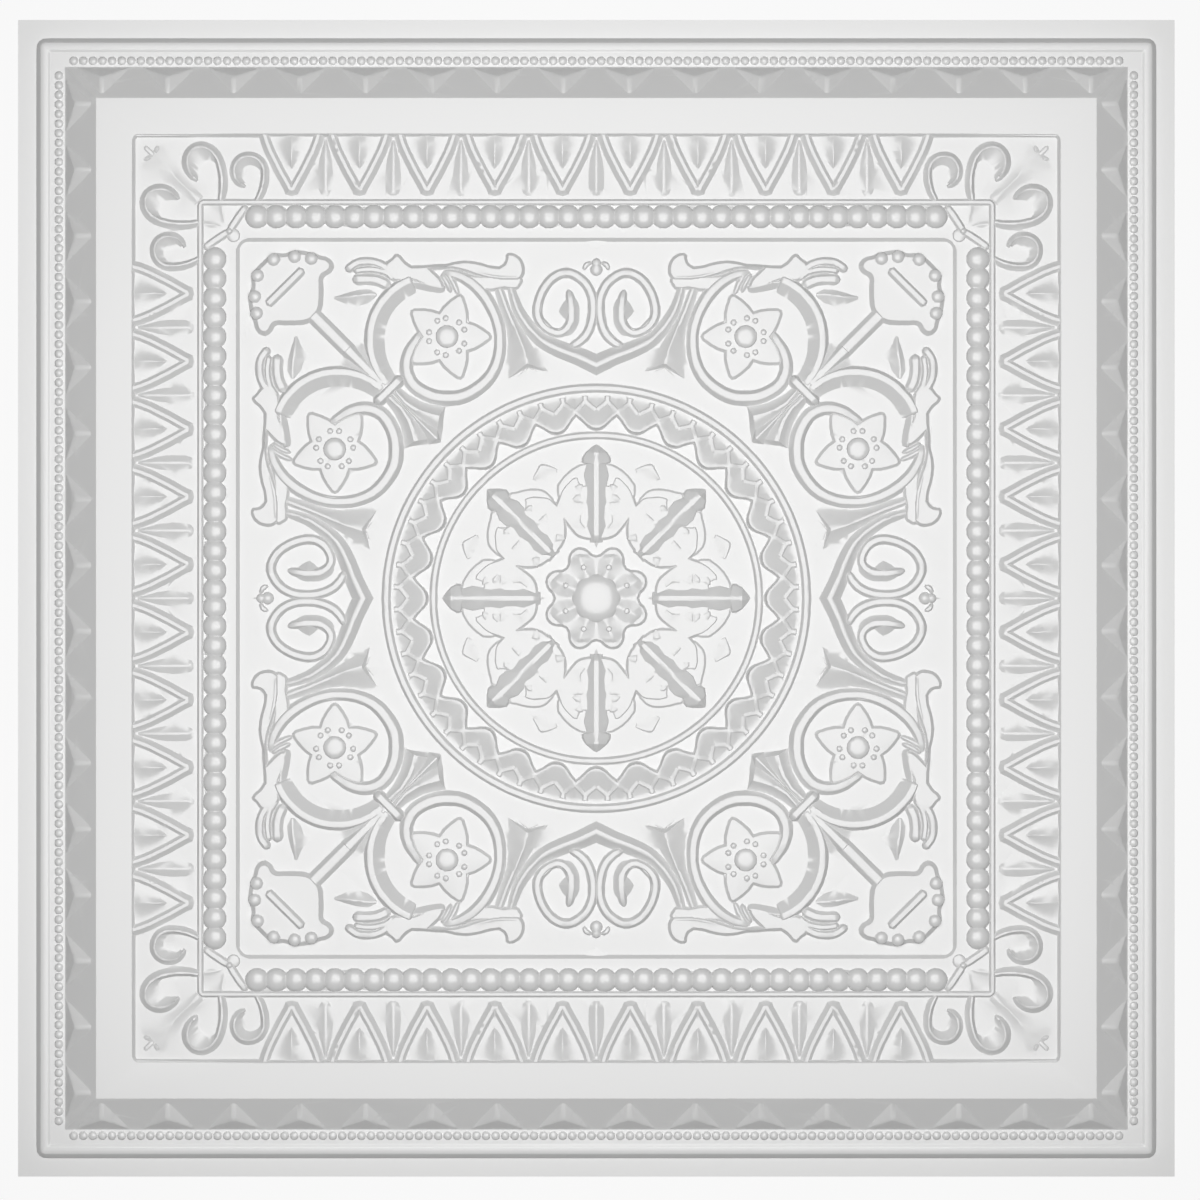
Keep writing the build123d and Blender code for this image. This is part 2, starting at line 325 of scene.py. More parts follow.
    def shield(self, outline: list[Point], level: float, steps: tuple[Point, ...], poke: float = 0.0,
               symmetry: Symmetry = Symmetry.DIAGONAL) -> None:
        """Adds a raised shape whose face is stepped inwards from its outline.

        Args:
            outline: The corners of its foot, in order.
            level: The height of the ground.
            steps: The run in the plan and the rise of each step, from the outside in.
            poke: How far the middle of the last face is drawn up.
            symmetry: How it repeats.
        """
        area = sum(ax * by - bx * ay for (ax, ay), (bx, by) in zip(outline, outline[1:] + outline[:1]))
        start_clean()
        bpy.ops.mesh.primitive_circle_add(vertices=len(outline), fill_type="NGON", location=(0, 0, 0))
        ring = bpy.context.object.data
        order = outline if area * ring.polygons[0].normal.z > 0 else outline[::-1]
        for vertex, (x, y) in zip(ring.vertices, order):
            vertex.co = (x, y, level)
        bpy.ops.object.mode_set(mode="EDIT")
        bpy.ops.mesh.select_all(action="SELECT")
        inset_steps(steps)
        if poke:
            bpy.ops.mesh.poke(offset=poke)
        self.keep(symmetry)

    def joined(self) -> bpy.types.Object:
        """Joins every die to one, with the diagonal ones mirrored.

        Returns:
            The one mesh of the quarter's dies.
        """
        for die in list(self.groups[Symmetry.DIAGONAL]):
            use_only(die)
            bpy.ops.object.duplicate()
            twin = bpy.context.object
            twin.data.transform(Matrix(((0, 1, 0, 0), (1, 0, 0, 0), (0, 0, 1, 0), (0, 0, 0, 1))))
            self.groups[Symmetry.ONCE].append(twin)
        start_clean()
        dies = [die for group in self.groups.values() for die in group]
        for die in dies:
            die.select_set(True)
        bpy.context.view_layer.objects.active = dies[0]
        bpy.ops.object.join()
        return bpy.context.object


def inset_steps(steps: tuple[Point, ...]) -> None:
    """Insets the selected face again and again, each time by a run in the plan and a rise."""
    for run, rise in steps:
        bpy.ops.mesh.inset(thickness=run, depth=rise)


@dataclass
class StepFrame:
    """The flange, outer wall, sloping band, flat frame, fine ridge and step to the field."""

    wall_corner: float = 5.0
    step_corner: float = 2.2
    ridge_corner: float = 3.4
    field_corner: float = 5.0
    corner_cover: float = 4.8
    corner_slope: float = 1.4
    merge: float = 0.7
    wall_steps: tuple[Point, ...] = ((2.3, 4.4), (0.7, 0.6), (1.0, 0.1))
    rim_steps: tuple[Point, ...] = ((2.3, 0.0), (0.4, -0.1), (1.2, -0.4))
    ridge_steps: tuple[Point, ...] = (
        (0.9, 1.6), (LINE.ridge_outer - LINE.ridge_inner - 1.7, 0), (0.8, -1.6)
    )

    def block(self, half: float, level: float) -> None:
        """Starts a square face at a height and leaves it selected in edit mode."""
        start_clean()
        bpy.ops.mesh.primitive_plane_add(size=2 * half, location=(0, 0, level))
        bpy.ops.object.mode_set(mode="EDIT")
        bpy.ops.mesh.select_all(action="SELECT")

    def round_corners(self, corner: float) -> None:
        """Rounds the corners of the selected face."""
        bpy.ops.mesh.bevel(offset=corner, segments=5, affect="VERTICES")

    def sharp_corners(self) -> None:
        """Draws the rounds left in the corners of the selected face together again."""
        bpy.ops.mesh.remove_doubles(threshold=self.merge)

    def fill_corner(self, dies: DieSet, half: float, corner: float, low: float, high: float) -> None:
        """Rounds an inner corner of the frame with a plate that fills it.

        Args:
            dies: The set to add it to.
            half: The half size of the square that the corner belongs to.
            corner: The radius of the round.
            low: The height inside the corner.
            high: The height outside it.
        """
        turn = half - corner
        far = half + self.corner_cover
        arc = [around((turn, turn), corner, 90 - 15 * i) for i in range(7)]
        outline = arc + [(far, turn), (far, far), (turn, far)]
        dies.plate(outline, high - low, low, self.corner_slope, (0, 6, 7, 8, 9), Symmetry.ONCE)

    def build(self, dies: DieSet) -> None:
        """Adds the frame's dies, from the rim to the field.

        Args:
            dies: The set to add them to.
        """
        start_clean()
        bpy.ops.mesh.primitive_plane_add(size=2 * LINE.edge + 2, location=(0, 0, LEVEL.flange))
        dies.keep(Symmetry.ONCE)
        self.block(LINE.wall_foot, LEVEL.flange)
        self.round_corners(self.wall_corner)
        inset_steps(self.wall_steps)
        self.sharp_corners()
        inset_steps(self.rim_steps)
        dies.keep(Symmetry.ONCE)
        self.block(LINE.band_foot, LEVEL.shelf)
        inset_steps((
            (LINE.band_foot - LINE.band_top, LEVEL.frame - LEVEL.shelf),
            (LINE.band_top - LINE.step_top, 0),
            (LINE.step_top - LINE.border, LEVEL.border - LEVEL.frame),
            (LINE.border - LINE.field_top, 0),
            (LINE.field_top - LINE.field_foot, LEVEL.field - LEVEL.border),
        ))
        dies.keep(Symmetry.ONCE)
        self.block(LINE.ridge_outer, LEVEL.border)
        self.round_corners(self.ridge_corner)
        inset_steps(self.ridge_steps)
        bpy.ops.mesh.delete(type="FACE")
        dies.keep(Symmetry.ONCE)
        self.fill_corner(dies, LINE.field_foot, self.field_corner, LEVEL.field, LEVEL.border)
        self.fill_corner(dies, LINE.border, self.step_corner, LEVEL.border, LEVEL.frame)


@dataclass
class PyramidBand:
    """The row of fine beads on the shelf and the row of pyramids on the sloping band."""

    bead_pitch: float = 4.99
    bead_count: int = 55
    bead_line: float = 279.7
    bead_radius: float = 2.25
    bead_rise: float = 1.5
    pitch: float = 34.2
    count: int = 8
    half: float = 14.4

    def ground(self, y: float) -> float:
        """Gives the height of the sloping band at a distance from the middle line."""
        share = (LINE.band_foot - y) / (LINE.band_foot - LINE.band_top)
        return LEVEL.shelf + share * (LEVEL.frame - LEVEL.shelf)

    def pyramid(self, dies: DieSet, x: float) -> None:
        """Adds one pyramid with its flat crest.

        Args:
            dies: The set to add to.
            x: Its place along the side.
        """
        foot = LINE.band_foot - 0.1
        crest = [(0.5, 270.8, 13.5), (1.2, 269.0, 14.0), (1.4, 263.0, 14.2)]
        corners = [(self.half, foot, LEVEL.shelf - 0.1), (0.5, 261.6, self.ground(261.6) - 0.1)]
        dies.hull([(x + side * dx, y, z) for dx, y, z in crest + corners for side in (-1, 1)])

    def build(self, dies: DieSet) -> None:
        """Adds the dies of the band on one side of the quarter.

        Args:
            dies: The set to add them to.
        """
        for i in range(self.bead_count):
            place = ((i + 0.5) * self.bead_pitch, self.bead_line)
            dies.bead(place, self.bead_radius, self.bead_rise, LEVEL.shelf, sides=16)
        for i in range(self.count):
            self.pyramid(dies, (i + 0.5) * self.pitch)


@dataclass
class TongueBorder:
    """The border of tongues and darts between the frame and the fine ridge."""

    pitch: float = 35.1
    count: int = 5
    slope: tuple[float, float] = (2.5, 2.1)
    rim: float = 1.6
    drop: tuple[float, float] = (1.6, -1.6)
    leaf_rise: float = 1.5
    dart_rise: float = 1.25

    def tongue(self, dies: DieSet, x: float) -> None:
        """Adds one tongue: a sloping shield with a raised rim and a folded leaf inside.

        Args:
            dies: The set to add to.
            x: Its place along the side.
        """
        side = [(18.4, 247.5), (17.2, 239.5), (15.8, 235.0), (13.8, 230.0), (11.3, 225.0), (8.8, 220.0),
                (6.2, 215.4), (4.4, 212.2), (3.2, 209.4)]
        outline = [(x + px, y) for px, y in side] + [(x, 208.5)] + [(x - px, y) for px, y in reversed(side)]
        dies.shield(outline, LEVEL.border, (self.slope, (self.rim, 0), self.drop))
        ground = LEVEL.border + self.slope[1] + self.drop[1]
        leaf = [(239.4, 9.0, 0.5), (236.0, 8.2, 0.9), (232.0, 6.4, 1.0), (228.0, 4.2, 1.0),
                (225.0, 2.2, 0.8), (222.6, 0.3, 0.0)]
        section = ((-1, -0.05), (-0.45, 0.35), (-0.07, 1.0), (0.07, 1.0), (0.45, 0.35), (1, -0.05))
        rows = []
        for share, height in section:
            rows.append([(x + share * half, y, ground + height * rise * self.leaf_rise)
                         for y, half, rise in leaf])
        dies.fold(rows)

    def dart(self, dies: DieSet, x: float) -> None:
        """Adds one dart: a long lens with a flat crest.

        Args:
            dies: The set to add to.
            x: Its place along the side.
        """
        foot = [(0.6, 238.0), (2.0, 232.0), (3.6, 226.0), (4.4, 219.0), (4.1, 213.0), (3.0, 209.8),
                (1.4, 208.6)]
        crest = [(0.35, 235.0), (0.7, 226.0), (0.8, 217.0), (0.7, 211.5)]
        points = [(x + side * px, y, LEVEL.border - 0.1) for px, y in foot for side in (-1, 1)]
        points += [(x + side * px, y, LEVEL.border + self.dart_rise) for px, y in crest for side in (-1, 1)]
        dies.hull(points)

    def build(self, dies: DieSet) -> None:
        """Adds the tongues and darts of one side of the quarter.

        Args:
            dies: The set to add them to.
        """
        for i in range(self.count):
            self.tongue(dies, (i + 0.5) * self.pitch)
            self.dart(dies, i * self.pitch)


@dataclass
class BeadCourse:
    """The course of round beads inside the fine ridge, with the fan at its corner."""

    first: float = 4.4
    pitch: float = 10.094
    count: int = 18
    line: float = 198.0
    radius: float = 6.15
    rise: float = 3.5
    rib_rise: float = 0.6

    def build(self, dies: DieSet) -> None:
        """Adds the beads of one side of the quarter and the fan at its corner.

        Args:
            dies: The set to add them to.
        """
        base = LEVEL.border
        for i in range(self.count):
            place = (self.first + i * self.pitch, self.line)
            dies.bead(place, self.radius, self.rise, base, sides=28, fullness=2.3)
        dies.bead((188.2, 188.2), 3.4, 1.2, base, Symmetry.ONCE, fullness=4.0)
        dies.bead((190.3, 190.3), 1.9, 2.5, base, Symmetry.ONCE)
        dies.rope([(181.2, 203.6), (184.2, 199.6), (187.6, 194.6), (190.2, 190.4)], 2.3, 1.8, base)
        dies.rope([(192.4, 194.0), (193.8, 199.0), (194.3, 204.4)], 2.2, self.rib_rise, base,
                  [0.4, 0.8, 1.1], section=Section.GABLE)


@dataclass
class BorderCorner:
    """The two curls, the trumpet and the little flower at the corner of the tongue border."""

    rise: float = 2.6
    faint: float = 0.75

    def curls(self, dies: DieSet) -> None:
        """Adds the small and the large curl, each a crest with a hollow slope inside its head.

        Args:
            dies: The set to add to.
        """
        small = [(176.2, 206.4), (174.3, 210.0), (172.9, 214.5), (172.3, 219.0), (172.7, 223.0),
                 (174.6, 226.6), (178.0, 228.6), (181.5, 228.9), (184.8, 227.5), (187.0, 224.3),
                 (187.5, 220.6), (186.4, 217.2), (184.2, 214.8), (182.0, 213.6)]
        large = [(195.2, 206.4), (194.3, 212.0), (194.2, 217.0), (195.0, 222.5), (196.8, 228.0),
                 (200.0, 232.0), (204.6, 233.8), (208.8, 232.6), (211.3, 229.4), (211.9, 225.6),
                 (211.0, 222.0), (209.0, 218.8), (206.8, 216.8)]
        small_foot = [(174.4, 221.6), (175.8, 223.2), (178.0, 224.3), (180.2, 224.5), (182.2, 223.6),
                      (183.6, 221.6), (184.0, 219.2), (183.2, 217.0), (181.8, 215.2)]
        large_foot = [(197.4, 225.4), (199.4, 226.8), (202.0, 227.2), (204.2, 226.4), (205.8, 224.2),
                      (206.5, 221.8), (206.5, 219.6), (206.2, 217.6)]
        for path, foot, outer in ((small, small_foot, 3.0), (large, large_foot, 3.5)):
            body = [0.75, 0.95, 1.0] + [1.0] * (len(path) - 7) + [1.0, 0.9, 0.7, 0.35]
            dies.rope(path, (outer, 1.9), self.rise, LEVEL.border, body, section=Section.GABLE, ends=0)
            top = [(x, y, LEVEL.border + 0.97 * self.rise) for _, (x, y) in smooth_path(path[4:-1])]
            low = [(x, y, LEVEL.border - 0.05) for _, (x, y) in smooth_path(foot)]
            dies.fold([top, low])

    def trumpet(self, dies: DieSet) -> None:
        """Adds the faint trumpet along the diagonal and the little flower in the corner.

        Args:
            dies: The set to add to.
        """
        base = LEVEL.border
        foot = [(203.6, 208.6), (210.0, 215.2), (215.4, 220.6), (218.6, 227.0), (220.2, 235.4)]
        crest = [(205.4, 207.0, 0.6), (212.6, 213.0, 1.0), (218.4, 219.0, 0.95), (222.8, 227.0, 0.7),
                 (224.6, 235.4, 0.1)]
        middle = [(206.0, 0.6), (213.0, 1.0), (219.0, 0.9), (226.0, 0.4), (231.0, -0.05)]
        rows = [[(x, y, base - 0.05) for x, y in foot]]
        rows += [[(x, y, base + self.faint * z) for x, y, z in crest]]
        rows += [[(x, x, base + self.faint * z) for x, z in middle]]
        rows += [[(y, x, z) for x, y, z in row] for row in reversed(rows[:2])]
        dies.fold(rows, Symmetry.ONCE)
        dies.rope([(229.6, 229.6), (234.4, 234.4)], 1.4, 0.5, base, None, Symmetry.ONCE)
        dies.rope([(227.4, 234.6), (228.2, 232.4), (229.4, 231.2)], 1.3, 0.5, base)

    def build(self, dies: DieSet) -> None:
        """Adds the ornaments of the border's corner.

        Args:
            dies: The set to add them to.
        """
        self.curls(dies)
        self.trumpet(dies)


@dataclass
class ScrollField:
    """The scrolls, leaves and flowers of the flat field outside the medallion."""

    rise: float = 3.0
    vine_half: Point = (4.4, 3.5)
    star: Point = (77.4, 135.7)
    sheath: Point = (84.5, 134.5)

    def vine(self, dies: DieSet) -> None:
        """Adds the vine that winds round the star flower and runs up under the leaf.

        Args:
            dies: The set to add to.
        """
        path = [(90.4, 138.6), (93.6, 133.4), (96.4, 128.6), (98.1, 123.0), (98.0, 117.6), (95.6, 112.0),
                (91.2, 108.2), (84.6, 105.2), (77.2, 104.2), (69.4, 105.2), (61.8, 109.2), (55.2, 115.6),
                (51.2, 124.6), (50.3, 135.6), (52.2, 145.0), (56.0, 153.2), (61.0, 160.0), (66.6, 164.7),
                (73.0, 167.7), (80.0, 169.0)]
        thick = [0.55, 0.7, 0.85, 0.92, 0.96, 1, 1.02, 1.05, 1.06, 1.05, 1.0, 0.94, 0.88, 0.84, 0.86, 0.92,
                 0.95, 0.9, 0.75, 0.55]
        dies.rope(path, self.vine_half, self.rise, LEVEL.field, thick)

    def flower(self, dies: DieSet) -> None:
        """Adds the five-pointed star flower with its eye and its ten dots.

        Args:
            dies: The set to add to.
        """
        edge = [(-36, 13.9), (-25.5, 16.3), (-15, 19.1), (-5, 22.6), (0, 23.5), (5, 22.6), (15, 19.1),
                (25.5, 16.3)]
        outline = [around(self.star, r, 180 + 72 * i + a) for i in range(5) for a, r in edge]
        dies.shield(outline, LEVEL.field, ((1.5, 1.9),), poke=0.5)
        dies.bead(self.star, 6.0, 2.7, LEVEL.field + 1.4, fullness=4.0)
        for i in range(5):
            for side in (-22, 22):
                place = around(self.star, 9.6, 180 + 72 * i + side)
                dies.bead(place, 1.6, 1.1, LEVEL.field + 2.0, sides=12)
        stalks = [[(71.6, 157.6), (74.2, 163.6), (77.8, 169.4)],
                  [(75.4, 158.6), (77.4, 163.4), (80.4, 168.4)]]
        for stalk in stalks:
            dies.rope(stalk, 2.0, 1.9, LEVEL.field, [0.6, 1, 0.9], section=Section.GABLE)

    def top_leaf(self, dies: DieSet) -> None:
        """Adds the long leaf under the bead course, with the lower band that it folds over.

        Args:
            dies: The set to add to.
        """
        base = LEVEL.field
        top = [(37.4, 168.0), (37.3, 172.5), (38.8, 176.0), (41.5, 178.4), (44.8, 179.4), (46.9, 178.4),
               (47.2, 176.0), (48.2, 173.8), (50.5, 172.3), (55.0, 172.8), (60.0, 174.2), (66.0, 175.2),
               (72.0, 175.0), (78.5, 173.6), (85.0, 173.3), (91.0, 172.8), (95.6, 172.6), (99.0, 175.0),
               (102.0, 178.2), (103.9, 178.8), (106.2, 176.8), (110.0, 173.0)]
        low = [(106.0, 164.6), (96.0, 164.4), (88.0, 161.6), (80.0, 160.4), (78.8, 162.2), (80.4, 165.8),
               (84.6, 170.2), (77.0, 170.6), (69.4, 169.4), (61.5, 166.7), (55.0, 165.0), (48.0, 164.2),
               (40.0, 164.2)]
        outline = top + low
        tips = [(50.5, 172.3), (95.6, 172.6), (80.0, 160.4), (84.6, 170.2), (40.0, 164.2)]
        dies.plate(outline, 2.5, base, 1.6, tuple(outline.index(tip) for tip in tips))
        band = [(38.4, 166.0), (39.6, 161.6), (41.0, 160.3), (48.6, 160.2), (53.0, 159.4), (59.6, 159.2),
                (64.0, 163.2), (69.0, 167.4), (72.0, 169.6), (60.0, 167.6)]
        dies.plate(band, 1.9, base, 1.4, (5, 8))
        vein = [(41.0, 166.6), (48.0, 166.4), (55.0, 167.2), (64.0, 169.6)]
        dies.rope(vein, 0.9, 0.35, base + 2.45, [0.6, 1, 1, 0.5])
        slope = [(97.0, 164.6), (92.0, 164.0), (86.0, 162.8), (80.6, 161.9), (78.4, 161.8)]
        dies.rope(slope, (4.0, 0.4), 2.45, base, [1, 1, 1, 0.95, 0.6], section=Section.GABLE, ends=0.5)

    def trumpet(self, dies: DieSet) -> None:
        """Adds the folded trumpet beside the axis and the stem that passes over it.

        Args:
            dies: The set to add to.
        """
        base = LEVEL.field
        left = [(48.0, 160.4), (44.2, 150.0), (38.4, 140.0), (32.4, 130.0), (24.6, 117.4), (24.2, 116.8)]
        crest = [(50.2, 160.4), (46.4, 150.0), (42.2, 140.0), (38.2, 130.0), (35.5, 121.6), (35.4, 119.4)]
        right = [(53.2, 160.4), (50.4, 150.0), (46.8, 140.0), (45.6, 130.0), (46.4, 114.2), (46.6, 113.4)]
        rises = (1.6, 2.1, 2.5, 2.7, 2.7, -0.1)
        rows = [[(x, y, base - 0.1) for x, y in left]]
        rows += [[(x + step, y, base + z) for (x, y), z in zip(crest, rises)] for step in (-0.6, 0.6)]
        rows += [[(x, y, base - 0.1) for x, y in right]]
        dies.fold(rows)
        kite = [(29.4, 117.4, 0.0), (41.4, 115.0, 0.0), (35.8, 109.4, 0.0), (35.4, 119.6, 1.0)]
        dies.hull([(x, y, base - 0.05 + z) for x, y, z in kite])
        stem = [(44.4, 160.8), (42.6, 154.6), (40.6, 149.2), (37.4, 143.8), (33.6, 138.8), (29.6, 134.8),
                (25.0, 131.8), (18.0, 128.6), (10.0, 125.6), (4.0, 122.9), (-3.0, 119.6)]
        thick = [0.45, 0.6, 0.68, 0.75, 0.82, 0.88, 0.94, 1, 1.05, 1.1, 1.15]
        dies.rope(stem, (4.6, 5.2), 3.1, base, thick, section=Section.GABLE, ends=0)

    def volute(self, dies: DieSet) -> None:
        """Adds the volute beside the axis, its bud and the crown bud over it.

        Args:
            dies: The set to add to.
        """
        base = LEVEL.field
        ring = [(14.0, 130.6), (10.2, 132.2), (5.8, 136.0), (2.8, 142.0), (1.6, 150.0), (2.8, 158.2),
                (7.2, 165.0), (15.0, 168.9), (22.8, 166.0), (28.2, 158.8), (30.6, 150.6), (30.0, 145.2),
                (27.2, 141.0), (23.6, 138.6), (19.6, 137.6), (15.8, 139.4), (13.4, 143.6), (13.0, 150.0),
                (13.6, 156.0), (14.6, 160.2)]
        thick = [0.8, 0.9, 1, 1, 1, 1, 1, 1, 1, 1, 1, 1, 0.95, 0.9, 0.9, 0.95, 1, 1, 0.9, 0.6]
        dies.rope(ring, 2.8, 2.7, base, thick)
        inside = [(20.0, 137.2), (15.0, 139.0), (12.6, 144.0), (12.4, 151.0), (12.6, 157.0)]
        dies.rope(inside, (4.0, 0.8), 2.7, base, [0.3, 0.8, 1, 1, 0.4], section=Section.GABLE)
        bud = [(13.6, 143.4), (13.8, 149.0), (14.0, 156.0)]
        dies.rope(bud, (0.8, 6.2), 2.6, base, [0.5, 1, 0.5], section=Section.GABLE)
        dies.bead((0.0, 170.6), 3.2, 2.2, base)
        dies.bead((0.0, 174.0), 2.4, 2.0, base)
        dies.rope([(2.4, 174.2), (5.2, 173.0), (6.6, 170.4)], 1.5, 1.8, base, [0.7, 1, 0.7])

    def sheath_and_fingers(self, dies: DieSet) -> None:
        """Adds the sheath that curls round the vine, its fingers and the lens leaf.

        Args:
            dies: The set to add to.
        """
        base = LEVEL.field
        turns = (71, 62, 53, 43, 33, 23, 13, 3, -7, -17, -27, -37, -46)
        arc = [around(self.sheath, 32.6 + max(0.0, -turn / 60), turn) for turn in turns]
        dies.rope(arc, (3.6, 7.8), 3.5, base, [0.95, 1, 1, 1, 1, 1, 1, 1, 1, 0.97, 0.93, 0.88, 0.8],
                  section=Section.SLOPE, ends=1.5)
        outer = [(104.6, 166.6), (108.6, 171.0), (113.0, 173.6), (118.6, 174.7), (124.4, 173.8),
                 (130.0, 169.8)]
        middle = [(104.6, 165.4), (109.0, 168.8), (113.6, 170.2), (118.6, 170.7), (126.0, 169.6)]
        inner = [(107.0, 161.8), (112.4, 164.6), (118.6, 165.7), (126.6, 165.3)]
        for path, half in ((outer, 2.6), (middle, 2.0), (inner, 3.3)):
            dies.rope(path, half, 2.4, base)
        upper = [(113.6, 158.4), (118.0, 160.6), (123.0, 160.3), (128.5, 158.9), (133.0, 157.4),
                 (136.6, 156.0)]
        crest = [(114.0, 157.8), (118.6, 157.5), (123.6, 157.0), (128.6, 156.3), (132.6, 156.0),
                 (136.0, 155.9)]
        lower = [(114.6, 156.2), (119.0, 152.8), (124.0, 151.3), (129.0, 151.9), (133.0, 153.9),
                 (136.6, 155.7)]
        rises = [1.0, 1.8, 2.0, 1.9, 1.3, 0.2]
        rows = [[(x, y, base - 0.1) for x, y in upper]]
        rows += [[(x, y + step, base + z) for (x, y), z in zip(crest, rises)] for step in (0.5, -0.5)]
        rows += [[(x, y, base - 0.1) for x, y in lower]]
        dies.fold(rows)

    def build(self, dies: DieSet) -> None:
        """Adds the ornaments of one half of the quarter's field.

        Args:
            dies: The set to add them to.
        """
        self.vine(dies)
        self.flower(dies)
        self.top_leaf(dies)
        self.trumpet(dies)
        self.volute(dies)
        self.sheath_and_fingers(dies)


@dataclass
class DiagonalSpray:
    """The palmette, its stem, the clasp and the trumpet along the diagonal of the quarter."""

    stem_half: float = 4.5
    rise: float = 3.2
    bead_radius: float = 3.4

    def palmette(self, dies: DieSet) -> None:
        """Adds the palmette plate with its beads and its cross bar.

        Args:
            dies: The set to add to.
        """
        base = LEVEL.field
        half = [(143.6, 147.2), (142.2, 151.0), (141.7, 156.0), (141.6, 162.0), (141.4, 166.4),
                (138.4, 168.4), (136.4, 171.0), (136.6, 174.2), (139.2, 176.8), (143.4, 178.0),
                (148.0, 179.6), (156.6, 180.6), (162.0, 179.0), (167.4, 179.0), (172.8, 175.2)]
        dies.plate(half + list(reversed(swapped(half))), self.rise, base, 2.3, (0, 29), Symmetry.ONCE)
        for place in ((147.8, 176.1), (156.4, 177.1), (167.3, 175.6)):
            dies.bead(place, self.bead_radius, 2.3, base + 2.4, fullness=2.6)
        bar = [(151.8, 170.8), (161.3, 161.3), (170.8, 151.8)]
        dies.rope(bar, 2.7, 1.9, base + 3.1, None, Symmetry.ONCE, ends=2.0)

    def stem(self, dies: DieSet) -> None:
        """Adds the stem in its two lengths and the rays that flare up from the clasp beside it.

        Args:
            dies: The set to add to.
        """
        base = LEVEL.field
        upper = [(127.0, 127.0), (138.0, 138.0), (149.0, 149.0)]
        dies.rope(upper, self.stem_half, 2.7, base, None, Symmetry.ONCE, ends=0)
        lower = [(107.0, 107.0), (118.0, 118.0), (129.0, 129.0)]
        dies.rope(lower, 4.3, 3.5, base, [0.7, 0.8, 1.0], Symmetry.ONCE, ends=0)
        creases = [
            [(108.5, 113.6, 3.2), (113.5, 121.0, 3.2), (116.3, 127.5, 2.6), (117.6, 134.0, 0.6)],
            [(109.4, 113.0, 3.0), (115.3, 120.7, 2.2), (118.2, 126.8, 1.0), (119.9, 132.6, -0.1)],
            [(110.0, 112.3, 3.1), (116.4, 120.4, 2.7), (119.8, 126.8, 1.7), (122.4, 133.2, -0.1)],
            [(110.6, 111.6, 3.0), (117.2, 119.4, 2.1), (122.0, 125.6, 0.9), (126.2, 131.4, -0.1)],
            [(111.0, 111.0, 3.0), (118.4, 118.4, 2.6), (124.0, 124.0, 2.0), (129.0, 129.0, 1.0)],
        ]
        dies.fold([[(x, y, base + z) for x, y, z in crease] for crease in creases])

    def clasp(self, dies: DieSet) -> None:
        """Adds the clasp and the three-ribbed trumpet below it, with the wall at its mouth.

        Args:
            dies: The set to add to.
        """
        base = LEVEL.field
        clasp = [(100.5, 114.9), (104.0, 111.4), (107.7, 107.7), (111.4, 104.0), (114.9, 100.5)]
        dies.rope(clasp, 3.6, 4.0, base, None, Symmetry.ONCE)
        creases = [
            [(102.6, 110.0, -0.1), (97.0, 105.6, -0.1), (90.0, 102.0, -0.1), (84.0, 100.3, -0.1),
             (78.3, 99.6, -0.1)],
            [(104.0, 107.8, 3.2), (98.2, 101.6, 3.3), (92.0, 97.8, 3.4), (86.0, 95.7, 3.4),
             (81.2, 94.6, 3.4)],
            [(104.4, 107.2, 3.2), (98.9, 100.8, 3.3), (92.8, 96.6, 3.4), (86.8, 94.0, 3.4),
             (81.7, 92.5, 3.4)],
            [(105.0, 106.4, 2.8), (99.3, 99.9, 2.2), (93.6, 94.8, 1.9), (87.6, 90.4, 1.8),
             (82.4, 87.4, 1.8)],
            [(105.8, 106.2, 3.2), (99.4, 99.6, 3.2), (93.0, 93.5, 3.3), (87.4, 88.0, 3.3),
             (82.4, 83.0, 3.3)],
        ]
        mouth = [(77.8, 99.6), (79.0, 95.0), (79.3, 92.5), (79.7, 87.2), (80.6, 81.2)]
        rows = [[(x, y, base + z) for x, y, z in crease] for crease in creases]
        for row, (x, y) in zip(rows, mouth):
            row.append((x, y, base - 0.1))
        rows += [[(y, x, z) for x, y, z in row] for row in reversed(rows)]
        dies.fold(rows, Symmetry.ONCE)

    def build(self, dies: DieSet) -> None:
        """Adds the ornaments along the diagonal.

        Args:
            dies: The set to add them to.
        """
        self.palmette(dies)
        self.stem(dies)
        self.clasp(dies)


